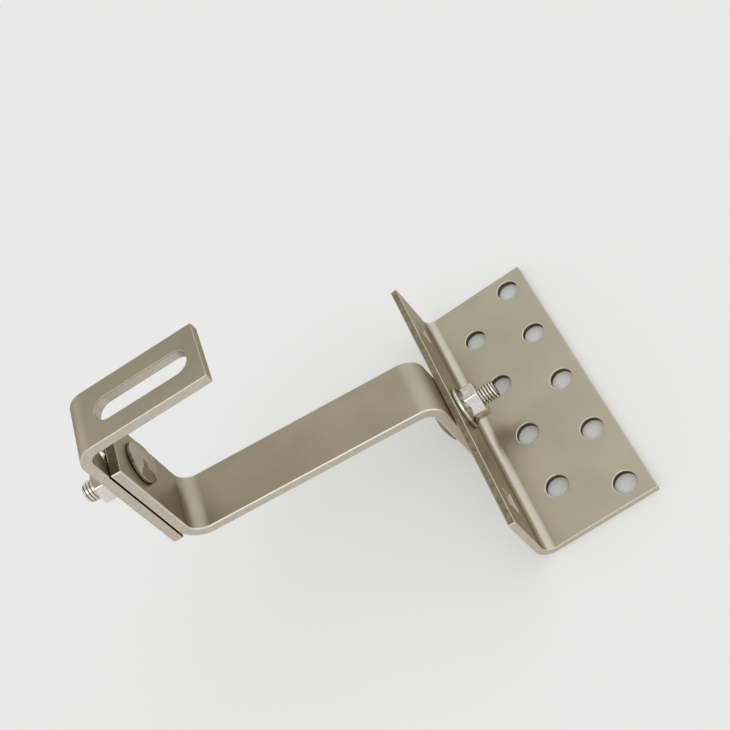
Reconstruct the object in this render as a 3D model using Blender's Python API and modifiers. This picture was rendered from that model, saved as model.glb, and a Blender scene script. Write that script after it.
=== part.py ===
"""Solar roof hook: a folded base plate, a bent flat-bar arm and a slotted rail
bracket, held together by two carriage bolts with flange nuts.

Metres, +Z up. The origin is the middle of the base plate's underside. The plate's
flange stands on the -X side, and the arm reaches out past it towards -X.
"""

from math import cos, pi, radians, sin, sqrt, tan

import bmesh
import bpy
from mathutils import Matrix, Vector

# Base plate, one sheet folded to an L
PLATE_LENGTH = 0.151
PLATE_WIDTH = 0.060
FLANGE_HEIGHT = 0.040
PLATE_SHEET = 0.0035
PLATE_FOLD_RADIUS = 0.005

# Round holes for the roof screws, in two staggered rows
SCREW_HOLE_DIAMETER = 0.011
SCREW_HOLES_IN_OUTER_ROW = 5
SCREW_HOLE_END_DISTANCE = 0.010
OUTER_ROW_EDGE_DISTANCE = 0.011
ROW_SPACING = 0.027

# Square holes along the flange: one for the arm's bolt in the middle, and spare ones beside it
FLANGE_HOLE_HEIGHT = 0.025
FLANGE_HOLE_SPACING = 0.055
SPARE_HOLES_EACH_SIDE = 1

# Arm, a flat bar bent twice: foot, shank and tip. The hole in its tip is a little off the middle.
ARM_WIDTH = 0.031
ARM_THICKNESS = 0.005
ARM_FOOT_LIFT = 0.0085
ARM_FOOT_LENGTH = 0.041
ARM_FOOT_BEND_RADIUS = 0.006
SHANK_LENGTH = 0.106
SHANK_RISE = radians(7.5)
ARM_TIP_BEND_RADIUS = 0.008
ARM_TIP_LENGTH = 0.053
ARM_TIP_LEAN = radians(6)
RAIL_BOLT_FROM_END = 0.0198
RAIL_BOLT_OFFSET = 0.0012

# Rail bracket, a flat bar bent once: upright and shelf, with a slot in each
BRACKET_WIDTH = 0.031
BRACKET_THICKNESS = 0.005
BRACKET_OVERLAP = 0.059
BRACKET_ABOVE_ARM = 0.0103
BRACKET_BEND_RADIUS = 0.0053
SHELF_LENGTH = 0.0558
SHELF_DROP = radians(2.9)
SHELF_SLOT_WIDTH = 0.012
SHELF_SLOT_LENGTH = 0.045
SHELF_SLOT_FROM_END = 0.0285
UPRIGHT_SLOT_BELOW_BEND = 0.0044
UPRIGHT_SLOT_BELOW_BOLT = 0.0178

# M10 carriage bolts, both alike
THREAD_DIAMETER = 0.010
BOLT_LENGTH = 0.0274
BOLT_HEAD_DIAMETER = 0.021
BOLT_HEAD_HEIGHT = 0.0053
BOLT_HEAD_RIM = 0.0017
BOLT_NECK_LENGTH = 0.0053
BOLT_NECK_OVER_THREAD = 0.0004
BOLT_POINT_CHAMFER = 0.001

# M10 flange nuts, both alike
NUT_ACROSS_FLATS = 0.0155
NUT_HEIGHT = 0.010
NUT_FLANGE_DIAMETER = 0.022
NUT_FLANGE_RIM = 0.0015
NUT_FLANGE_HEIGHT = 0.0041
NUT_CHAMFER = radians(30)
BASE_NUT_TURN = radians(47)
RAIL_NUT_TURN = radians(46)

# Fits and edges
SEAT_GAP = 0.0003
NECK_CLEARANCE = 0.0003
SLOT_CLEARANCE = 0.0003
THREAD_CLEARANCE = 0.0003
BEND_STEPS = 12
ROUND_STEPS = 32

# Sizes that follow from the ones above
NECK_WIDTH = THREAD_DIAMETER + BOLT_NECK_OVER_THREAD
SQUARE_HOLE = NECK_WIDTH + 2 * NECK_CLEARANCE
UPRIGHT_SLOT_WIDTH = THREAD_DIAMETER + 2 * (RAIL_BOLT_OFFSET + SLOT_CLEARANCE)
FLANGE_FACE_X = -PLATE_WIDTH / 2
ARM_FACE_X = FLANGE_FACE_X - SEAT_GAP


def clear_scene():
    for obj in list(bpy.data.objects):
        bpy.data.objects.remove(obj, do_unlink=True)


def new_collection(name):
    collection = bpy.data.collections.new(name)
    bpy.context.scene.collection.children.link(collection)
    return collection


def stainless(name, colour, roughness):
    material = bpy.data.materials.new(name)
    material.use_nodes = True
    shader = material.node_tree.nodes["Principled BSDF"]
    shader.inputs["Base Color"].default_value = (*colour, 1.0)
    shader.inputs["Metallic"].default_value = 1.0
    shader.inputs["Roughness"].default_value = roughness
    return material


def direction(heading):
    """Unit vector in the XZ plane, its heading measured from +X towards +Z"""
    return Vector((cos(heading), 0.0, sin(heading)))


def left_of(heading):
    return direction(heading + pi / 2)


class Strip:
    """Side profile of a bent flat bar: one face, which runs on in the XZ plane, with the metal on its left"""

    def __init__(self, start, heading, thickness):
        self.point = Vector(start)
        self.heading = heading
        self.thickness = thickness
        self.face = []
        self.back = []
        self.mark()

    def mark(self):
        self.face.append(self.point.copy())
        self.back.append(self.point + left_of(self.heading) * self.thickness)

    def straight(self, length):
        self.point = self.point + direction(self.heading) * length
        self.mark()

    def bend_to(self, new_heading, inner_radius):
        """Bend on to a new heading. The inner radius is that of the hollow side."""
        turn = new_heading - self.heading
        radius = inner_radius + self.thickness if turn > 0 else -inner_radius
        centre = self.point + left_of(self.heading) * radius
        first = self.heading
        for step in range(1, BEND_STEPS + 1):
            self.heading = first + turn * step / BEND_STEPS
            self.point = centre - left_of(self.heading) * radius
            self.mark()

    def outline(self):
        return self.face + self.back[::-1]


def smooth_rounds(mesh):
    mesh.shade_smooth()
    mesh.set_sharp_from_angle(angle=radians(30))


def slab(name, outline, thickness, collection):
    """A closed outline in local X and Y made into a solid, half its thickness to each side"""
    curve = bpy.data.curves.new(name, "CURVE")
    curve.dimensions = "2D"
    curve.fill_mode = "BOTH"
    curve.extrude = thickness / 2
    spline = curve.splines.new("POLY")
    spline.points.add(len(outline) - 1)
    for point, (x, y) in zip(spline.points, outline):
        point.co = (x, y, 0.0, 1.0)
    spline.use_cyclic_u = True
    flat = bpy.data.objects.new(name, curve)
    collection.objects.link(flat)
    bpy.context.view_layer.update()

    evaluated = flat.evaluated_get(bpy.context.evaluated_depsgraph_get())
    mesh = bpy.data.meshes.new_from_object(evaluated)
    matrix = flat.matrix_world.copy()
    bpy.data.objects.remove(flat, do_unlink=True)
    work = bmesh.new()
    work.from_mesh(mesh)
    bmesh.ops.remove_doubles(work, verts=work.verts, dist=0.000001)
    work.to_mesh(mesh)
    work.free()
    smooth_rounds(mesh)
    solid = bpy.data.objects.new(name, mesh)
    solid.matrix_world = matrix
    collection.objects.link(solid)
    return solid


def bent_bar(name, strip, width, material, collection):
    """Stand a strip's profile up in the XZ plane and give it its width along Y"""
    outline = [(point.x, point.z) for point in strip.outline()]
    bar = slab(name, outline, width, collection)
    bar.rotation_euler = (pi / 2, 0.0, 0.0)
    bar.data.materials.append(material)
    return bar


def mesh_object(name, work, collection):
    mesh = bpy.data.meshes.new(name)
    work.to_mesh(mesh)
    work.free()
    smooth_rounds(mesh)
    obj = bpy.data.objects.new(name, mesh)
    collection.objects.link(obj)
    return obj


def turned(name, profile, collection):
    """Turn a profile of (radius, height), from its top on the axis down to its bottom on the axis"""
    work = bmesh.new()
    corners = [work.verts.new((radius, 0.0, height)) for radius, height in profile]
    for first, second in zip(corners, corners[1:]):
        work.edges.new((first, second))
    obj = mesh_object(name, work, collection)
    screw = obj.modifiers.new("turn", "SCREW")
    screw.steps = ROUND_STEPS
    screw.render_steps = ROUND_STEPS
    screw.use_merge_vertices = True
    screw.merge_threshold = 0.00001
    screw.use_smooth_shade = True
    return obj


def placed(point, axis, turn=0.0):
    """Matrix that moves a piece to a point, with its local Z along an axis, and turns it about that axis"""
    aim = Vector(axis).to_track_quat("Z", "Y").to_matrix().to_4x4()
    return Matrix.Translation(point) @ aim @ Matrix.Rotation(turn, 4, "Z")


def hide_cutter(cutter, matrix):
    cutter.matrix_world = matrix
    cutter.hide_render = True
    cutter.display_type = "WIRE"
    return cutter


def round_cutter(name, matrix, diameter, depth, collection):
    work = bmesh.new()
    bmesh.ops.create_cone(work, cap_ends=True, segments=ROUND_STEPS, radius1=diameter / 2,
                          radius2=diameter / 2, depth=depth)
    return hide_cutter(mesh_object(name, work, collection), matrix)


def square_cutter(name, matrix, side, depth, collection):
    work = bmesh.new()
    bmesh.ops.create_cube(work, size=1.0, matrix=Matrix.Diagonal((side, side, depth, 1.0)))
    return hide_cutter(mesh_object(name, work, collection), matrix)


def slot_matrix(middle, along, axis):
    """Matrix that puts local X along a slot and local Z along its axis"""
    frame = Matrix((along, axis.cross(along), axis)).transposed().to_4x4()
    return Matrix.Translation(middle) @ frame


def slot_cutter(name, matrix, length, width, depth, collection):
    """A slot along local X, with full round ends"""
    end_steps = ROUND_STEPS // 2
    outline = []
    for side in (1, -1):
        for step in range(end_steps + 1):
            angle = pi * step / end_steps - pi / 2
            x = (length - width) / 2 + cos(angle) * width / 2
            outline.append((side * x, side * sin(angle) * width / 2))
    return hide_cutter(slab(name, outline, depth, collection), matrix)


def combine(target, other, operation="DIFFERENCE"):
    modifier = target.modifiers.new(other.name, "BOOLEAN")
    modifier.operation = operation
    modifier.object = other


def row(count, spacing):
    """Evenly spaced places on both sides of zero"""
    return [(index - (count - 1) / 2) * spacing for index in range(count)]


def make_base_plate(parts, cutters):
    steel = stainless("base_plate_steel", (0.56, 0.53, 0.46), 0.45)
    strip = Strip((FLANGE_FACE_X, 0.0, FLANGE_HEIGHT), -pi / 2, PLATE_SHEET)
    outer_radius = PLATE_FOLD_RADIUS + PLATE_SHEET
    strip.straight(FLANGE_HEIGHT - outer_radius)
    strip.bend_to(0.0, PLATE_FOLD_RADIUS)
    strip.straight(PLATE_WIDTH - outer_radius)
    plate = bent_bar("base_plate", strip, PLATE_LENGTH, steel, parts)

    pitch = (PLATE_LENGTH - 2 * SCREW_HOLE_END_DISTANCE) / (SCREW_HOLES_IN_OUTER_ROW - 1)
    outer_x = PLATE_WIDTH / 2 - OUTER_ROW_EDGE_DISTANCE
    rows = (("outer", outer_x, SCREW_HOLES_IN_OUTER_ROW),
            ("inner", outer_x - ROW_SPACING, SCREW_HOLES_IN_OUTER_ROW - 1))
    depth = 3 * PLATE_SHEET
    for name, x, count in rows:
        for index, y in enumerate(row(count, pitch)):
            hole = placed((x, y, PLATE_SHEET / 2), (0, 0, 1))
            combine(plate, round_cutter(f"screw_hole_{name}_{index + 1}", hole, SCREW_HOLE_DIAMETER,
                                        depth, cutters))
    for index, y in enumerate(row(2 * SPARE_HOLES_EACH_SIDE + 1, FLANGE_HOLE_SPACING)):
        hole = placed((FLANGE_FACE_X + PLATE_SHEET / 2, y, FLANGE_HOLE_HEIGHT), (1, 0, 0))
        combine(plate, square_cutter(f"flange_hole_{index + 1}", hole, SQUARE_HOLE, depth, cutters))


def arm_profile():
    strip = Strip((ARM_FACE_X, 0.0, ARM_FOOT_LIFT), pi / 2, ARM_THICKNESS)
    strip.straight(ARM_FOOT_LENGTH)
    strip.bend_to(pi - SHANK_RISE, ARM_FOOT_BEND_RADIUS)
    strip.straight(SHANK_LENGTH)
    strip.bend_to(pi / 2 - ARM_TIP_LEAN, ARM_TIP_BEND_RADIUS)
    strip.straight(ARM_TIP_LENGTH)
    return strip


def base_bolt_point():
    """Where the base bolt's axis meets the arm's face"""
    return Vector((ARM_FACE_X, 0.0, FLANGE_HOLE_HEIGHT))


def rail_bolt_point(arm):
    """Where the rail bolt's axis meets the arm's face"""
    below_end = arm.face[-1] - direction(arm.heading) * RAIL_BOLT_FROM_END
    return below_end + Vector((0.0, RAIL_BOLT_OFFSET, 0.0))


def make_hook_arm(strip, parts, cutters):
    steel = stainless("hook_arm_steel", (0.52, 0.49, 0.43), 0.42)
    arm = bent_bar("hook_arm", strip, ARM_WIDTH, steel, parts)
    depth = 3 * ARM_THICKNESS
    foot_hole = placed(base_bolt_point(), (1, 0, 0))
    combine(arm, square_cutter("arm_foot_hole", foot_hole, SQUARE_HOLE, depth, cutters))
    tip_hole = placed(rail_bolt_point(strip), left_of(strip.heading))
    combine(arm, square_cutter("arm_tip_hole", tip_hole, SQUARE_HOLE, depth, cutters))


def bracket_profile(arm):
    along = direction(arm.heading)
    out = left_of(arm.heading)
    start = arm.back[-1] + out * SEAT_GAP - along * BRACKET_OVERLAP
    strip = Strip(start, arm.heading, BRACKET_THICKNESS)
    strip.straight(BRACKET_OVERLAP + BRACKET_ABOVE_ARM)
    strip.bend_to(-SHELF_DROP, BRACKET_BEND_RADIUS)
    strip.straight(SHELF_LENGTH)
    return strip


def make_rail_bracket(strip, upright_heading, parts, cutters):
    steel = stainless("rail_bracket_steel", (0.50, 0.47, 0.41), 0.42)
    bracket = bent_bar("rail_bracket", strip, BRACKET_WIDTH, steel, parts)
    depth = 3 * BRACKET_THICKNESS

    shelf = direction(strip.heading)
    shelf_up = left_of(strip.heading)
    middle = strip.face[-1] - shelf * SHELF_SLOT_FROM_END + shelf_up * BRACKET_THICKNESS / 2
    matrix = slot_matrix(middle, shelf, shelf_up)
    combine(bracket, slot_cutter("shelf_slot", matrix, SHELF_SLOT_LENGTH, SHELF_SLOT_WIDTH, depth, cutters))

    upright = direction(upright_heading)
    out = left_of(upright_heading)
    bolt_height = BRACKET_OVERLAP - RAIL_BOLT_FROM_END
    slot_low = bolt_height - UPRIGHT_SLOT_BELOW_BOLT
    slot_high = BRACKET_OVERLAP + BRACKET_ABOVE_ARM - UPRIGHT_SLOT_BELOW_BEND
    middle = strip.face[0] + upright * (slot_low + slot_high) / 2 + out * BRACKET_THICKNESS / 2
    matrix = slot_matrix(middle, upright, out)
    combine(bracket, slot_cutter("upright_slot", matrix, slot_high - slot_low,
                                 UPRIGHT_SLOT_WIDTH, depth, cutters))


def evaluated_mesh(obj):
    bpy.context.view_layer.update()
    evaluated = obj.evaluated_get(bpy.context.evaluated_depsgraph_get())
    return bpy.data.meshes.new_from_object(evaluated)


def bolt_mesh(cutters):
    """Carriage bolt with its head up and the head's underside at zero"""
    radius = BOLT_HEAD_DIAMETER / 2
    crown = BOLT_HEAD_HEIGHT - BOLT_HEAD_RIM
    dome_radius = (radius ** 2 + crown ** 2) / (2 * crown)
    dome_steps = 10
    profile = []
    for step in range(dome_steps + 1):
        r = radius * step / dome_steps
        profile.append((r, BOLT_HEAD_HEIGHT - dome_radius + sqrt(dome_radius ** 2 - r ** 2)))
    shank = THREAD_DIAMETER / 2
    profile += [(radius, 0.0), (shank, 0.0), (shank, BOLT_POINT_CHAMFER - BOLT_LENGTH),
                (shank - BOLT_POINT_CHAMFER, -BOLT_LENGTH), (0.0, -BOLT_LENGTH)]
    bolt = turned("bolt_body", profile, cutters)
    root = BOLT_HEAD_RIM / 2
    neck = placed((0.0, 0.0, (root - BOLT_NECK_LENGTH) / 2), (0, 0, 1))
    combine(bolt, square_cutter("bolt_neck", neck, NECK_WIDTH, BOLT_NECK_LENGTH + root, cutters), "UNION")
    mesh = evaluated_mesh(bolt)
    hide_cutter(bolt, Matrix())
    return mesh


def nut_mesh(cutters):
    """Flange nut with its seat at zero, its hex up and a corner of the hex on local X"""
    corner = NUT_ACROSS_FLATS / sqrt(3)
    flat = NUT_ACROSS_FLATS / 2
    on_its_seat = placed((0.0, 0.0, NUT_HEIGHT / 2), (0, 0, 1), pi / 2)
    work = bmesh.new()
    bmesh.ops.create_cone(work, cap_ends=True, segments=6, radius1=corner, radius2=corner,
                          depth=NUT_HEIGHT, matrix=on_its_seat)
    nut = mesh_object("nut_body", work, cutters)

    chamfer = tan(NUT_CHAMFER)
    reach = 2 * corner
    facing = turned("nut_chamfer", [(0.0, NUT_HEIGHT), (flat, NUT_HEIGHT),
                                    (reach, NUT_HEIGHT - (reach - flat) * chamfer),
                                    (reach, -NUT_HEIGHT), (0.0, -NUT_HEIGHT)], cutters)
    combine(nut, hide_cutter(facing, Matrix()), "INTERSECT")

    rim = NUT_FLANGE_DIAMETER / 2
    skirt = turned("nut_flange", [(0.0, NUT_FLANGE_HEIGHT), (flat, NUT_FLANGE_HEIGHT), (rim, NUT_FLANGE_RIM),
                                  (rim, 0.0), (0.0, 0.0)], cutters)
    combine(nut, hide_cutter(skirt, Matrix()), "UNION")

    bore = THREAD_DIAMETER / 2 + THREAD_CLEARANCE
    mouth = bore + THREAD_CLEARANCE
    lead = mouth - bore
    above = NUT_HEIGHT / 2
    core = turned("nut_bore", [(0.0, NUT_HEIGHT + above), (mouth + above, NUT_HEIGHT + above),
                               (mouth, NUT_HEIGHT), (bore, NUT_HEIGHT - lead), (bore, lead),
                               (mouth, 0.0), (mouth + above, -above), (0.0, -above)], cutters)
    combine(nut, hide_cutter(core, Matrix()))
    mesh = evaluated_mesh(nut)
    hide_cutter(nut, Matrix())
    return mesh


def place_fastener(name, mesh, matrix, material, collection):
    piece = bpy.data.objects.new(name, mesh)
    piece.matrix_world = matrix
    if not mesh.materials:
        mesh.materials.append(material)
    collection.objects.link(piece)


def make_fasteners(arm, parts, cutters):
    steel = stainless("fastener_steel", (0.66, 0.65, 0.62), 0.25)
    bolt = bolt_mesh(cutters)
    nut = nut_mesh(cutters)

    base_axis = Vector((1.0, 0.0, 0.0))
    head = base_bolt_point() - base_axis * (ARM_THICKNESS + SEAT_GAP)
    seat = base_bolt_point() + base_axis * (SEAT_GAP + PLATE_SHEET + SEAT_GAP)
    place_fastener("base_bolt", bolt, placed(head, -base_axis), steel, parts)
    place_fastener("base_nut", nut, placed(seat, base_axis, BASE_NUT_TURN), steel, parts)

    rail_axis = left_of(arm.heading)
    head = rail_bolt_point(arm) - rail_axis * SEAT_GAP
    seat = rail_bolt_point(arm) + rail_axis * (ARM_THICKNESS + SEAT_GAP + BRACKET_THICKNESS + SEAT_GAP)
    place_fastener("rail_bolt", bolt, placed(head, -rail_axis), steel, parts)
    place_fastener("rail_nut", nut, placed(seat, rail_axis, RAIL_NUT_TURN), steel, parts)


def main():
    clear_scene()
    parts = new_collection("solar_roof_hook")
    cutters = new_collection("cutters")
    make_base_plate(parts, cutters)
    arm = arm_profile()
    make_hook_arm(arm, parts, cutters)
    make_rail_bracket(bracket_profile(arm), arm.heading, parts, cutters)
    make_fasteners(arm, parts, cutters)


main()
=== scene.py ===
# The looks of a solar roof hook, put together round its fixed frame, in metres
from math import atan, cos, floor, pi, radians, sin, sqrt, tan

import bmesh
import bpy
from mathutils import Matrix, Vector


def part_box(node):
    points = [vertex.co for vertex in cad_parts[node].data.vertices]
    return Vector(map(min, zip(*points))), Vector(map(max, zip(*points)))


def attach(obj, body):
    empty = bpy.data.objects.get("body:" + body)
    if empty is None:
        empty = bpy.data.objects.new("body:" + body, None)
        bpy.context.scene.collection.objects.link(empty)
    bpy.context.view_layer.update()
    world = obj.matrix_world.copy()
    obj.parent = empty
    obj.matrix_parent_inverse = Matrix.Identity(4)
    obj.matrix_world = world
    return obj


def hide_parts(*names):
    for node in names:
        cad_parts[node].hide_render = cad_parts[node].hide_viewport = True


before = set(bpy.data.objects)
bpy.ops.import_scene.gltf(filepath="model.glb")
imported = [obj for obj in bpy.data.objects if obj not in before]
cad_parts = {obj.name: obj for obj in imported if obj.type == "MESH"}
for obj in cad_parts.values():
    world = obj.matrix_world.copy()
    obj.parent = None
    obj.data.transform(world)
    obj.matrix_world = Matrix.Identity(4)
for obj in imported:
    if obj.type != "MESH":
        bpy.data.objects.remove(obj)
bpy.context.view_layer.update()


# Base plate. A blank sheared off a strip of stainless steel, punched flat and then folded to an
# L, which the roof screws hold down. The punch draws the upper rims of its holes down a little,
# and tumbling takes the sharpness off every other edge.
SHEET = 0.0035
PLATE_FOLD = 0.005
SCREW_HOLE = 0.011
SCREW_HOLE_END = 0.010
SCREW_ROW_EDGE = 0.011
SCREW_ROW_GAP = 0.027
SCREW_ROW_COUNT = 5
FLANGE_HOLE = 0.011
FLANGE_HOLE_Z = 0.025
FLANGE_HOLE_PITCH = 0.055
PUNCHED_RIM = 0.0005
PUNCHED_FACETS = 4
TUMBLED_EDGE = 0.0004
TUMBLED_FACETS = 3
BEND_FACETS = 12
HOLE_FACETS = 64
SHARP = radians(35)
NEAR = 0.00001
WELD = 0.000001
# Finishes. The cut ends, the screw holes' walls and the joint of two bars carry painted shade, and the
# rounded edges wear and painted highlight
ROLLED, SHEARED, CROPPED, RUBBED, TORN, GRIMED = range(6)
X, Y, Z = Vector((1, 0, 0)), Vector((0, 1, 0)), Vector((0, 0, 1))


def along(heading):
    """Unit vector in the XZ plane, its heading measured from +X towards +Z"""
    return Vector((cos(heading), 0, sin(heading)))


def left_of(heading):
    return along(heading + pi / 2)


def bent_strip(start, heading, thickness, runs):
    """Both faces of a bent strip. A run is a length, or a (new heading, inner radius) to bend to.
    The metal lies to the left of the face that starts at start."""
    point = Vector(start)
    face, back = [], []

    def mark():
        face.append(point.copy())
        back.append(point + left_of(heading) * thickness)

    mark()
    for run in runs:
        if isinstance(run, tuple):
            new_heading, inner = run
            turn = new_heading - heading
            radius = inner + thickness if turn > 0 else -inner
            centre = point + left_of(heading) * radius
            first = heading
            for step in range(1, BEND_FACETS + 1):
                heading = first + turn * step / BEND_FACETS
                point = centre - left_of(heading) * radius
                mark()
        else:
            point = point + along(heading) * run
            mark()
    return face, back


def prism(work, outline, push):
    """Closed outline of points, pushed along a vector into a solid"""
    bottom = work.faces.new([work.verts.new(point) for point in outline])
    top = bmesh.ops.extrude_face_region(work, geom=[bottom])["geom"]
    moved = [item for item in top if isinstance(item, bmesh.types.BMVert)]
    bmesh.ops.translate(work, verts=moved, vec=push)


def to_object(work, name):
    mesh = bpy.data.meshes.new(name)
    bmesh.ops.recalc_face_normals(work, faces=work.faces)
    work.to_mesh(mesh)
    work.free()
    made = bpy.data.objects.new(name, mesh)
    bpy.context.scene.collection.objects.link(made)
    return made


def strip_bar(name, strip, width, finishes):
    """Give a strip its width along Y. Its sides are sheared, its cut ends darker as painted shade, and the
    rest rolled.
    """
    face, back = strip
    work = bmesh.new()
    outline = [point - Y * width / 2 for point in face + back[::-1]]
    prism(work, outline, Y * width)
    bar = to_object(work, name)
    for finish in finishes:
        bar.data.materials.append(finish)
    ends = [(face[k] + back[k]) / 2 for k in (0, -1)]
    for polygon in bar.data.polygons:
        if abs(polygon.normal.y) > 0.9:
            polygon.material_index = SHEARED
        elif any((polygon.center - end).length < NEAR for end in ends):
            polygon.material_index = CROPPED
    return bar


def circle(radius, facets):
    turns = [2 * pi * k / facets for k in range(facets)]
    return [(radius * cos(turn), radius * sin(turn)) for turn in turns]


def square(side):
    half = side / 2
    return [(half, half), (-half, half), (-half, -half), (half, -half)]


def hole(work, shape, centre, across, axis, depth):
    """Cutter for one hole: a flat shape, its local X laid across, pushed along the hole's axis"""
    up = axis.cross(across)
    start = centre - axis * depth / 2
    prism(work, [start + across * x + up * y for x, y in shape], axis * depth)


def cut_out(target, work, finish=SHEARED):
    """Take the holes' cutters away from a solid, for good. The walls that they leave have a finish."""
    for face in work.faces:
        face.material_index = finish
    tool = to_object(work, "tool")
    for metal in target.data.materials:
        tool.data.materials.append(metal)
    cut = target.modifiers.new("cut", "BOOLEAN")
    cut.object = tool
    bpy.context.view_layer.update()
    result = target.evaluated_get(bpy.context.evaluated_depsgraph_get())
    mesh = bpy.data.meshes.new_from_object(result)
    target.modifiers.clear()
    target.data = mesh
    bpy.data.objects.remove(tool, do_unlink=True)


def soften(target, radius, facets, chosen=lambda middle: True):
    """Round the sharp edges whose middle is chosen. The roundings are lighter, as wear and as painted
    highlight.
    """
    work = bmesh.new()
    work.from_mesh(target.data)
    bmesh.ops.remove_doubles(work, verts=work.verts, dist=WELD)
    sharp = [edge for edge in work.edges
             if edge.is_manifold and edge.calc_face_angle() > SHARP
             and chosen((edge.verts[0].co + edge.verts[1].co) / 2)]
    bmesh.ops.bevel(work, geom=sharp, offset=radius, offset_type="OFFSET", segments=facets,
                    profile=0.5, affect="EDGES", clamp_overlap=False, material=RUBBED)
    work.to_mesh(target.data)
    work.free()


def rub_sides_only(bar, reach):
    """Leave the wear and painted highlight on the rounded edges along the two sides, and rolled everywhere
    within their reach
    """
    for polygon in bar.data.polygons:
        if polygon.material_index == RUBBED and abs(polygon.center.y) < reach:
            polygon.material_index = ROLLED


def even_shading(target):
    """Shade smoothly, with flat faces kept flat up to their rounded edges"""
    target.data.shade_smooth()
    weigh = target.modifiers.new("weigh", "WEIGHTED_NORMAL")
    weigh.keep_sharp = True


def stands_for(piece, node):
    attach(piece, "root")
    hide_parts(node)


def colour(code):
    """sRGB hex to linear"""
    parts = [int(code[k:k + 2], 16) / 255 for k in (1, 3, 5)]
    return tuple(p / 12.92 if p <= 0.04045 else ((p + 0.055) / 1.055) ** 2.4 for p in parts) + (1.0,)


def add(owner, kind, inputs=None, **settings):
    """Add a node. Each input is a value, or the socket that feeds it."""
    made = owner.node_tree.nodes.new(kind)
    for name, value in settings.items():
        setattr(made, name, value)
    for key, value in (inputs or {}).items():
        if isinstance(value, bpy.types.NodeSocket):
            owner.node_tree.links.new(value, made.inputs[key])
        else:
            made.inputs[key].default_value = value
    return made


# Bare steel that isn't polished mirrors a little less than white at a grazing angle. The grain of
# its surface is some 0.05 mm in life, and is drawn at 0.5 to 1.2 mm so that it shows.
GRAZING_TINT = "#c8c2b8"
PATCHES_FROM, PATCHES_TO = 0.32, 0.68
ROUGHNESS_SWING = 0.04
GRAIN_STRENGTH = 0.3


def stainless(name, light, deep, patch, grain, roughness, relief, guide=None):
    """Stainless steel. Its tone wanders from light to deep in patches of one size, or follows a guide,
    an attribute of the mesh, or is light alone where deep is None. A finer grain of another size
    varies its roughness and lifts its surface by the relief. All sizes are in metres."""
    steel = bpy.data.materials.new(name)
    steel.use_nodes = True
    shader = steel.node_tree.nodes["Principled BSDF"]
    links = steel.node_tree.links
    place = add(steel, "ShaderNodeTexCoord").outputs["Object"]
    if deep is None:
        shader.inputs["Base Color"].default_value = colour(light)
    else:
        if guide:
            depth = add(steel, "ShaderNodeAttribute", attribute_name=guide).outputs["Fac"]
        else:
            patches = add(steel, "ShaderNodeTexNoise", {"Vector": place, "Scale": 1 / patch, "Detail": 3.0})
            spread = add(steel, "ShaderNodeMapRange", {"Value": patches.outputs["Fac"],
                                                       "From Min": PATCHES_FROM, "From Max": PATCHES_TO})
            depth = spread.outputs["Result"]
        tone = add(steel, "ShaderNodeMix", {"Factor": depth, "A": colour(light), "B": colour(deep)},
                   data_type="RGBA")
        links.new(tone.outputs["Result"], shader.inputs["Base Color"])
    grains = add(steel, "ShaderNodeTexNoise", {"Vector": place, "Scale": 1 / grain, "Detail": 2.0})
    rough = add(steel, "ShaderNodeMapRange", {"Value": grains.outputs["Fac"],
                                              "To Min": roughness - ROUGHNESS_SWING,
                                              "To Max": roughness + ROUGHNESS_SWING})
    bump = add(steel, "ShaderNodeBump", {"Height": grains.outputs["Fac"], "Strength": GRAIN_STRENGTH,
                                         "Distance": relief})
    links.new(rough.outputs["Result"], shader.inputs["Roughness"])
    links.new(bump.outputs["Normal"], shader.inputs["Normal"])
    shader.inputs["Metallic"].default_value = 1.0
    shader.inputs["Specular Tint"].default_value = colour(GRAZING_TINT)
    return steel


def bar_finishes(name, rolled, cropped, rubbed, roughness):
    """Rolled and pickled faces are a warm olive grey with faint clouds, and blur what they mirror.
    Sheared sides are paler and more matt, with a slight pink and a fine mottle, and the cut ends
    are duller and darker, as painted shade. Tumbling rubs the long edges smooth; they are lighter,
    partly as wear and partly as painted highlight, so they draw bright lines. The walls of the small
    punched holes are dark, and the edges where two bars meet darker still, both as painted shade."""
    return (stainless(f"{name}_rolled_stainless", *rolled, 0.030, 0.0009, roughness, 0.000004),
            stainless(f"{name}_sheared_stainless", "#d8cec2", "#cbc2b4", 0.0015, 0.0005, 0.50, 0.00012),
            stainless(f"{name}_shaded_ends_stainless", *cropped, 0.0025, 0.0005, 0.45, 0.00012),
            stainless(f"{name}_highlit_wear_stainless", rubbed, None, None, 0.0006, 0.34, 0.00002),
            stainless(f"{name}_hole_shade_stainless", "#7d7468", "#655d51", 0.0025, 0.0005, 0.55, 0.00015),
            stainless(f"{name}_joint_shade_stainless", "#3c352b", "#2b251d", 0.0025, 0.0005, 0.60, 0.00002))


low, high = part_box("base_plate")
flange_x, lip_x = low[0], high[0]
plate_end, flange_top = high[1], high[2]
fold = PLATE_FOLD + SHEET
plate_strip = bent_strip((flange_x, 0, flange_top), -pi / 2, SHEET,
                         [flange_top - fold, (0, PLATE_FOLD), lip_x - flange_x - fold])
plate_finishes = bar_finishes("plate", rolled=("#c4bca8", "#bab29d"), cropped=("#80755b", "#9e9279"),
                              rubbed="#d2c9b7", roughness=0.30)
base_plate = strip_bar("base_plate_sheet", plate_strip, 2 * plate_end, plate_finishes)

punch = bmesh.new()
screw_pitch = 2 * (plate_end - SCREW_HOLE_END) / (SCREW_ROW_COUNT - 1)
outer_row_x = lip_x - SCREW_ROW_EDGE
for row_x, count in ((outer_row_x, SCREW_ROW_COUNT), (outer_row_x - SCREW_ROW_GAP, SCREW_ROW_COUNT - 1)):
    for k in range(count):
        centre = Vector((row_x, (k - (count - 1) / 2) * screw_pitch, SHEET / 2))
        hole(punch, circle(SCREW_HOLE / 2, HOLE_FACETS), centre, X, Z, 3 * SHEET)
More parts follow.
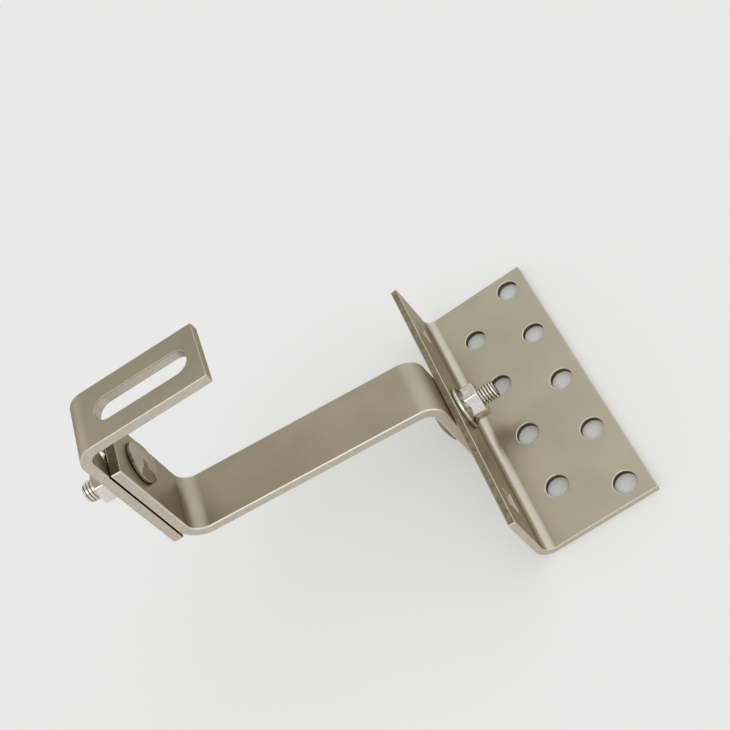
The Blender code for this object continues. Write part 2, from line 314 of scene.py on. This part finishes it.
# The screw holes' walls take a dark finish, as painted shade
cut_out(base_plate, punch, TORN)
punch = bmesh.new()
for k in (-1, 0, 1):
    centre = Vector((flange_x + SHEET / 2, k * FLANGE_HOLE_PITCH, FLANGE_HOLE_Z))
    hole(punch, square(FLANGE_HOLE), centre, Y, X, 3 * SHEET)
cut_out(base_plate, punch)


def on_upper_rim(middle):
    inside = middle.x < lip_x - TUMBLED_EDGE and abs(middle.y) < plate_end - TUMBLED_EDGE
    return inside and abs(middle.z - SHEET) < NEAR


soften(base_plate, TUMBLED_EDGE, TUMBLED_FACETS, lambda middle: not on_upper_rim(middle))
rub_sides_only(base_plate, plate_end - TUMBLED_EDGE)
# The punched rims take the lighter colour of the rounded edges, partly painted highlight
soften(base_plate, PUNCHED_RIM, PUNCHED_FACETS, on_upper_rim)
even_shading(base_plate)
stands_for(base_plate, "base_plate")


# Hook arm. A flat stainless bar, sheared to length and bent twice on a press, so that it
# reaches over the roof tile. Its shear-cut sides are paler than its rolled faces, and its
# edges are rounded like those of drawn bar.
BAR = 0.005
BAR_EDGE = 0.0006
BAR_EDGE_FACETS = 4
SEAT = 0.0003
GRIMED_SHARE = 0.6
ARM_FOOT = 0.041
ARM_FOOT_BEND = 0.006
SHANK = 0.106
SHANK_RISE = radians(7.5)
ARM_TIP_BEND = 0.008
ARM_TIP = 0.053
ARM_TIP_LEAN = radians(6)
RAIL_BOLT_BELOW_TIP = 0.0198
RAIL_BOLT_ASIDE = 0.0012

low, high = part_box("hook_arm")
arm_face_x, arm_foot_z, arm_width = high[0], low[2], high[1] - low[1]
tip_heading = pi / 2 - ARM_TIP_LEAN
arm_strip = bent_strip((arm_face_x, 0, arm_foot_z), pi / 2, BAR,
                       [ARM_FOOT, (pi - SHANK_RISE, ARM_FOOT_BEND), SHANK,
                        (tip_heading, ARM_TIP_BEND), ARM_TIP])
arm_tip, arm_tip_back = arm_strip[0][-1], arm_strip[1][-1]
tip_up, tip_out = along(tip_heading), left_of(tip_heading)
base_bolt_point = Vector((arm_face_x, 0, FLANGE_HOLE_Z))
rail_bolt_point = arm_tip - tip_up * RAIL_BOLT_BELOW_TIP + Y * RAIL_BOLT_ASIDE


def grime_the_joint(bar):
    """Darken the rounded edges along the joint of arm and bracket, as painted shade in the gap between them
    """
    joint = arm_tip_back + tip_out * SEAT / 2
    reach = SEAT / 2 + GRIMED_SHARE * BAR_EDGE
    for polygon in bar.data.polygons:
        place = polygon.center - joint
        in_joint = abs(place.dot(tip_out)) < reach and place.dot(tip_up) < 0
        if in_joint and polygon.material_index in (RUBBED, ROLLED) and abs(polygon.normal.y) > 0.1:
            polygon.material_index = GRIMED


def finish_bar(bar, width):
    """Round a flat bar's edges, and tell those with wear and painted highlight from the rolled ones and from
    those with painted shade in the joint
    """
    soften(bar, BAR_EDGE, BAR_EDGE_FACETS)
    rub_sides_only(bar, width / 2 - BAR_EDGE)
    grime_the_joint(bar)
    even_shading(bar)


arm_finishes = bar_finishes("arm", rolled=("#aea590", "#a29983"), cropped=("#8e8571", "#a29983"),
                            rubbed="#e9e1d0", roughness=0.38)
hook_arm = strip_bar("hook_arm_bar", arm_strip, arm_width, arm_finishes)
punch = bmesh.new()
hole(punch, square(FLANGE_HOLE), base_bolt_point, Y, X, 3 * BAR)
hole(punch, square(FLANGE_HOLE), rail_bolt_point, Y, tip_out, 3 * BAR)
cut_out(hook_arm, punch)
finish_bar(hook_arm, arm_width)
stands_for(hook_arm, "hook_arm")


# Rail bracket. The same flat bar, bent once, with a long slot punched in each leg: the
# rail's bolt slides in the upper one, and the lower one sets the height on the arm.
BRACKET_LAP = 0.059
BRACKET_ABOVE = 0.0103
BRACKET_BEND = 0.0053
SHELF = 0.0558
SHELF_DROP = radians(2.9)
SHELF_SLOT = 0.045
SHELF_SLOT_WIDTH = 0.012
SHELF_SLOT_FROM_END = 0.0285
UPRIGHT_SLOT_WIDTH = 0.013
UPRIGHT_SLOT_LOW = 0.0178
UPRIGHT_SLOT_HIGH = 0.0044


def slot_shape(length, width):
    """A slot along X with full round ends"""
    half = HOLE_FACETS // 2
    reach, round_end = (length - width) / 2, width / 2
    points = []
    for side in (1, -1):
        for k in range(half + 1):
            turn = pi * k / half - pi / 2
            points.append((side * (reach + cos(turn) * round_end), side * sin(turn) * round_end))
    return points


low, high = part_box("rail_bracket")
bracket_width = high[1] - low[1]
bracket_start = arm_tip_back + tip_out * SEAT - tip_up * BRACKET_LAP
bracket_strip = bent_strip(bracket_start, tip_heading, BAR,
                           [BRACKET_LAP, BRACKET_ABOVE, (-SHELF_DROP, BRACKET_BEND), SHELF])
bracket_finishes = bar_finishes("bracket", rolled=("#aea691", "#a39c86"), cropped=("#a49c87", "#aca48f"),
                                rubbed="#cfc6b3", roughness=0.32)
rail_bracket = strip_bar("rail_bracket_bar", bracket_strip, bracket_width, bracket_finishes)

punch = bmesh.new()
shelf_along, shelf_up = along(-SHELF_DROP), left_of(-SHELF_DROP)
middle = bracket_strip[0][-1] - shelf_along * SHELF_SLOT_FROM_END
hole(punch, slot_shape(SHELF_SLOT, SHELF_SLOT_WIDTH), middle, shelf_along, shelf_up, 3 * BAR)
slot_low = BRACKET_LAP - RAIL_BOLT_BELOW_TIP - UPRIGHT_SLOT_LOW
slot_high = BRACKET_LAP + BRACKET_ABOVE - UPRIGHT_SLOT_HIGH
middle = bracket_start + tip_up * (slot_low + slot_high) / 2
hole(punch, slot_shape(slot_high - slot_low, UPRIGHT_SLOT_WIDTH), middle, tip_up, tip_out, 3 * BAR)
cut_out(rail_bracket, punch)
finish_bar(rail_bracket, bracket_width)
stands_for(rail_bracket, "rail_bracket")


# Carriage bolts. Cold-headed stainless M10 bolts: a smooth domed head, a square neck that
# the arm's square holes keep from turning, and a rolled thread of 1.5 mm pitch. Forging
# and rolling leave them brighter than the bars.
THREAD = 0.0099
THREAD_PITCH = 0.0015
THREAD_DEPTH = 0.0009
THREAD_FLAT = 0.125
THREAD_STEPS = 16
STAINED_SHARE = 1 / 3
BOLT = 0.0274
HEAD = 0.021
HEAD_HIGH = 0.0046
HEAD_RIM = 0.0016
HEAD_LIP = 0.0004
DOME_RINGS = 25
LIP_FACETS = 4
NECK = 0.0104
NECK_LONG = 0.0053
NECK_TAPER = 0.0005
NECK_CORNER = 0.0006
NECK_FLAT_STEPS = 24
POINT = 0.001
CREASE = radians(32)


def polygon_radii(sides, across_flats, corner, extra):
    """Angles and radii round a regular polygon with rounded corners, one corner at angle zero.
    extra is how many equal steps each flat is cut into."""
    half = pi / sides
    pull = (across_flats / 2 - corner) / cos(half)
    rounded = half - atan(pull * sin(half) / (across_flats / 2))
    turns = [rounded * k / 3 for k in range(-3, 4)]
    turns += [rounded + (2 * half - 2 * rounded) * k / extra for k in range(1, extra)]
    angles, radii = [], []
    for side in range(sides):
        for turn in turns:
            angles.append(side * 2 * half + turn)
            if abs(turn) <= rounded:
                radii.append(pull * cos(turn) + sqrt(corner ** 2 - (pull * sin(turn)) ** 2))
            else:
                radii.append(across_flats / 2 / cos(half - turn))
    return angles, radii


def lip_rings(height, radius, lip, start, turn):
    """Rings of a rounded lip about its middle's height and radius, from a start angle by a turn"""
    angles = [start + turn * k / LIP_FACETS for k in range(LIP_FACETS + 1)]
    return [(height + lip * sin(angle), radius + lip * cos(angle)) for angle in angles]


def ring_body(name, angles, rings, closed=False):
    """Skin of rings, each a height and a radius for every angle, with its ends closed by a point,
    or joined to each other when closed"""
    work = bmesh.new()
    rows = []
    for height, radii in rings:
        if isinstance(radii, float):
            radii = [radii] * len(angles)
        rows.append([work.verts.new((r * cos(a), r * sin(a), height)) for a, r in zip(angles, radii)])
    count = len(angles)
    pairs = list(zip(rows, rows[1:]))
    if closed:
        pairs.append((rows[-1], rows[0]))
    for upper, lower in pairs:
        for k in range(count):
            n = (k + 1) % count
            work.faces.new((upper[k], lower[k], lower[n], upper[n]))
    if not closed:
        for row, height in ((rows[0], rings[0][0]), (rows[-1], rings[-1][0])):
            pole = work.verts.new((0, 0, height))
            for k in range(count):
                work.faces.new((row[k], row[(k + 1) % count], pole))
    return to_object(work, name)


def thread_radius(angle, height):
    """Radius of a right-hand thread with 60 degree flanks, its crests and roots flat for a share of
    the pitch"""
    phase = height / THREAD_PITCH - angle / (2 * pi)
    from_crest = 2 * abs(phase - floor(phase) - 0.5)
    flank = min(max((1 - THREAD_FLAT - from_crest) / (1 - 2 * THREAD_FLAT), 0.0), 1.0)
    return THREAD / 2 - THREAD_DEPTH * (1 - flank)


def carriage_bolt(name):
    """Bolt along Z, its head above zero. Its attribute for painted shade is 1 in the roots of its thread."""
    angles, neck = polygon_radii(4, NECK, NECK_CORNER, NECK_FLAT_STEPS)
    head = HEAD / 2
    crown = HEAD_HIGH - HEAD_RIM
    dome = (head ** 2 + crown ** 2) / (2 * crown)
    rings = []
    for k in range(1, DOME_RINGS):
        r = head * sin(pi / 2 * k / DOME_RINGS)
        rings.append((HEAD_HIGH - dome + sqrt(dome ** 2 - r ** 2), r))
    rings += lip_rings(HEAD_RIM - HEAD_LIP, head - HEAD_LIP, HEAD_LIP, pi / 2, -pi / 2)
    rings += lip_rings(HEAD_LIP, head - HEAD_LIP, HEAD_LIP, 0, -pi / 2)
    rings.append((0.0, neck))
    rings.append((-NECK_LONG + NECK_TAPER, neck))
    rings.append((-NECK_LONG, THREAD / 2))
    count = int((BOLT - NECK_LONG) / THREAD_PITCH * THREAD_STEPS)
    for k in range(1, count + 1):
        height = -NECK_LONG - (BOLT - NECK_LONG) * k / count
        limit = THREAD / 2 - max(0.0, POINT - (BOLT + height))
        rings.append((height, [min(thread_radius(a, height), limit) for a in angles]))
    bolt = ring_body(name, angles, rings)

    # Painted shade in the roots of the thread, fading out towards the crests
    root = THREAD / 2 - THREAD_DEPTH
    stain = bolt.data.attributes.new("root_stain", "FLOAT", "POINT")
    for vertex, item in zip(bolt.data.vertices, stain.data):
        from_root = (vertex.co.xy.length - root) / THREAD_DEPTH
        if vertex.co.z < -NECK_LONG - THREAD_PITCH / 2:
            item.value = max(0.0, 1 - from_root / STAINED_SHARE)
    return bolt


def crease(piece):
    piece.data.shade_smooth()
    piece.data.set_sharp_from_angle(angle=CREASE)


def seat_on(piece, point, axis, turn=0.0):
    """Bake a piece's place into its mesh: local Z along an axis, turned about it, then moved to a point"""
    aim = axis.to_track_quat("Z", "Y").to_matrix().to_4x4()
    piece.data.transform(Matrix.Translation(point) @ aim @ Matrix.Rotation(turn, 4, "Z"))


# Rolling leaves the thread's crests smooth and bright, and its roots are darkened as painted shade.
# The domed heads come from the die a little duller, and mirror what is round them quite clearly.
thread_steel = stainless("thread_rolled_stainless", "#f4f0e9", "#6f6659", None, 0.0009, 0.16, 0.00001,
                         "root_stain")
headed_steel = stainless("cold_headed_stainless", "#b5ad9f", "#a69e8f", 0.0080, 0.0012, 0.07, 0.000002)
THREADED, HEADED = range(2)
heads = {"base_bolt": (base_bolt_point - X * (BAR + SEAT), -X),
         "rail_bolt": (rail_bolt_point - tip_out * SEAT, -tip_out)}
for node, (point, axis) in heads.items():
    bolt = carriage_bolt(node + "_forged")
    crease(bolt)
    for metal in (thread_steel, headed_steel):
        bolt.data.materials.append(metal)
    for polygon in bolt.data.polygons:
        polygon.material_index = HEADED if polygon.center.z > 0 else THREADED
    seat_on(bolt, point, axis)
    stands_for(bolt, node)


# Flange nuts. Cold-forged stainless M10 nuts: a hexagon with chamfered corners that grows out
# of a sloping flange, which takes the place of a washer.
NUT_FLATS = 0.0155
NUT_CORNER = 0.0011
NUT_FLAT_STEPS = 12
NUT_HIGH = 0.010
NUT_FLANGE = 0.022
NUT_LIP = 0.0003
NUT_RIM = 0.0015
NUT_SKIRT = 0.0041
SKIRT_CURVE = 1.3
SKIRT_STEPS = 14
NUT_CHAMFER = radians(30)
CHAMFER_LAND = 0.0002
CHAMFER_STEPS = 14
NUT_BORE = 0.0101
BORE_LEAD = 0.0008
BORE_LEAD_DEEP = 0.0007
BASE_NUT_TURN = radians(47)
RAIL_NUT_TURN = radians(46)


def flange_nut(name):
    """Nut along Z, its flange's underside at zero"""
    angles, hexagon = polygon_radii(6, NUT_FLATS, NUT_CORNER, NUT_FLAT_STEPS)
    corner = max(hexagon)
    flat, bore = NUT_FLATS / 2, NUT_BORE / 2
    rim = NUT_FLANGE / 2 - NUT_LIP
    rings = lip_rings(NUT_LIP, rim, NUT_LIP, -pi / 2, pi / 2)
    rings += lip_rings(NUT_RIM - NUT_LIP, rim, NUT_LIP, 0, pi / 2)
    for k in range(1, SKIRT_STEPS + 1):
        rise = k / SKIRT_STEPS
        height = NUT_RIM + (NUT_SKIRT - NUT_RIM) * rise
        skirt = rim + (flat - rim) * (1 - (1 - rise) ** SKIRT_CURVE)
        rings.append((height, [max(skirt, r) for r in hexagon]))
    chamfer_high = (corner - flat) * tan(NUT_CHAMFER) + CHAMFER_LAND
    rings.append((NUT_HIGH - chamfer_high, hexagon))
    for k in range(1, CHAMFER_STEPS + 1):
        height = NUT_HIGH - chamfer_high * (1 - k / CHAMFER_STEPS)
        limit = flat - CHAMFER_LAND + (NUT_HIGH - height) / tan(NUT_CHAMFER)
        rings.append((height, [min(limit, r) for r in hexagon]))
    rings.append((NUT_HIGH, bore + BORE_LEAD))
    rings.append((NUT_HIGH - BORE_LEAD_DEEP, bore))
    rings.append((BORE_LEAD_DEEP, bore))
    rings.append((0.0, bore + BORE_LEAD))
    return ring_body(name, angles, rings[::-1], closed=True)


# Forging dies leave the nuts smooth and light, so they mirror in soft streaks, with small tool
# marks. The slopes of their flanges are darkened in blotches, as painted shade.
forged_steel = stainless("cold_forged_stainless", "#efe9e1", "#dcd6cd", 0.0011, 0.0009, 0.15, 0.00001)
stained_steel = stainless("flange_shade_stainless", "#b5ab9c", "#453d33", 0.0030, 0.0009, 0.13, 0.00001)
FORGED, STAINED = range(2)
seats = {"base_nut": (base_bolt_point + X * (SEAT + SHEET + SEAT), X, BASE_NUT_TURN),
         "rail_nut": (rail_bolt_point + tip_out * (BAR + SEAT + BAR + SEAT), tip_out, RAIL_NUT_TURN)}
for node, (point, axis, turn) in seats.items():
    nut = flange_nut(node + "_forged")
    crease(nut)
    for metal in (forged_steel, stained_steel):
        nut.data.materials.append(metal)
    for polygon in nut.data.polygons:
        # The slopes of the flanges take the painted shade
        on_slope = NUT_RIM < polygon.center.z < NUT_SKIRT and polygon.normal.z > 0.3
        polygon.material_index = STAINED if on_slope else FORGED
    seat_on(nut, point, axis, turn)
    stands_for(nut, node)


# Floor and light. A pale matt table under a wide soft sky, with one large soft lamp in front and
# far overhead that draws the bright lines on the upper edges. A part of the table's tone is its
# own, so that the shadows stay pale.
TABLE = "#e7e8e5"
TABLE_SIZE = 6.0
TABLE_FILL = 0.35
SHADE = "#d2d2cf"
SHADE_LIFT = 0.0002


def matt_paint(name, tone, fill):
    """Matt paint, with a share of its tone as its own light for what sees it directly or in a mirror"""
    paint = bpy.data.materials.new(name)
    paint.use_nodes = True
    matt = paint.node_tree.nodes["Principled BSDF"]
    matt.inputs["Base Color"].default_value = colour(tone)
    matt.inputs["Roughness"].default_value = 0.9
    matt.inputs["Specular IOR Level"].default_value = 0.1
    ray = add(paint, "ShaderNodeLightPath").outputs
    seen = ray["Is Camera Ray"]
    for mirrored in ("Is Glossy Ray", "Is Transmission Ray"):
        seen = add(paint, "ShaderNodeMath", {0: seen, 1: ray[mirrored]}, operation="MAXIMUM").outputs[0]
    share = add(paint, "ShaderNodeMath", {0: seen, 1: fill}, operation="MULTIPLY").outputs[0]
    even = add(paint, "ShaderNodeEmission", {"Color": colour(tone)}).outputs["Emission"]
    both = add(paint, "ShaderNodeMixShader", {0: share, 1: matt.outputs["BSDF"], 2: even})
    output = paint.node_tree.nodes["Material Output"]
    paint.node_tree.links.new(both.outputs["Shader"], output.inputs["Surface"])
    return paint


def lay_flat(name, paint, middle, size_x, size_y):
    """Lay a painted sheet flat, about a middle point and with a size along X and Y"""
    bpy.ops.mesh.primitive_plane_add(size=1.0)
    sheet = bpy.context.object
    sheet.name = name
    sheet.data.transform(Matrix.Translation(middle) @ Matrix.Diagonal((size_x, size_y, 1, 1)))
    sheet.data.materials.append(paint)


lay_flat("table", matt_paint("matt_table", TABLE, TABLE_FILL), (0, 0, 0), TABLE_SIZE, TABLE_SIZE)
# The shade is the table as the screw holes show it, in the base plate's shadow
lay_flat("shade", matt_paint("matt_shade", SHADE, 0.0), ((flange_x + lip_x) / 2, 0, SHADE_LIFT),
         lip_x - flange_x - 2 * SHEET, 2 * (plate_end - SHEET))

# The sky is a little dimmer behind the hook and in front of it, a little brighter and bluer to its
# right and its left, and dark in one small patch overhead. Each is a direction, the cosine at
# which it fades out, and its light.
SKY = (1.00, 0.995, 0.985, 1.0)
SKY_SIDES = (((-0.30, 0.85, 0.42), 0.6, (0.63, 0.62, 0.60, 1.0)),
             ((0.75, 0.50, 0.30), 0.5, (1.15, 1.18, 1.30, 1.0)),
             ((-0.93, 0.25, 0.20), 0.5, (1.06, 1.04, 1.12, 1.0)),
             ((-0.24, 0.23, 0.94), 0.96, (0.34, 0.33, 0.31, 1.0)),
             ((-0.10, -0.85, 0.52), 0.6, (0.80, 0.80, 0.81, 1.0)))
LAMP_FROM = Vector((-0.22, -0.45, 0.87))
LAMP_WIDTH = radians(40)
LAMP_POWER = 0.35

sky = bpy.data.worlds.new("soft_sky")
bpy.context.scene.world = sky
sky.use_nodes = True
way = add(sky, "ShaderNodeTexCoord").outputs["Generated"]
glow = SKY
for side, fades_at, light in SKY_SIDES:
    facing = add(sky, "ShaderNodeVectorMath", {0: way, 1: Vector(side).normalized()}, operation="DOT_PRODUCT")
    lobe = add(sky, "ShaderNodeMapRange", {"Value": facing.outputs["Value"], "From Min": fades_at},
               interpolation_type="SMOOTHSTEP")
    glow = add(sky, "ShaderNodeMix", {"Factor": lobe.outputs["Result"], "A": glow, "B": light},
               data_type="RGBA").outputs["Result"]
# Seen directly, the sky has the table's tone, so that the table has no visible end
seen = add(sky, "ShaderNodeLightPath").outputs["Is Camera Ray"]
glow = add(sky, "ShaderNodeMix", {"Factor": seen, "A": glow, "B": colour(TABLE)},
           data_type="RGBA").outputs["Result"]
sky.node_tree.links.new(glow, sky.node_tree.nodes["Background"].inputs["Color"])

lamp_data = bpy.data.lights.new("soft_box", "SUN")
lamp_data.angle = LAMP_WIDTH
lamp_data.energy = LAMP_POWER
lamp = bpy.data.objects.new("soft_box", lamp_data)
lamp.rotation_euler = (-LAMP_FROM).to_track_quat("-Z", "Y").to_euler()
bpy.context.scene.collection.objects.link(lamp)


# Camera. It looks down on the hook from above its near end, turned so that the arm runs to the
# left and the base plate lies on the right.
CAMERA_AT = Vector((0.0410, -0.3099, 0.4385))
CAMERA_ALONG = Vector((-0.18190, 0.65321, -0.73500))
CAMERA_RIGHT = Vector((0.81971, -0.31213, -0.48026))
CAMERA_LENS = 54.07
CAMERA_SENSOR = 36

camera_data = bpy.data.cameras.new("camera")
camera_data.lens = CAMERA_LENS
camera_data.sensor_width = CAMERA_SENSOR
camera = bpy.data.objects.new("camera", camera_data)
axes = (CAMERA_RIGHT, -CAMERA_ALONG.cross(CAMERA_RIGHT), -CAMERA_ALONG)
camera.matrix_world = Matrix.Translation(CAMERA_AT) @ Matrix(axes).transposed().to_4x4()
bpy.context.scene.collection.objects.link(camera)
bpy.context.scene.camera = camera

bpy.context.scene.view_settings.view_transform = "Standard"
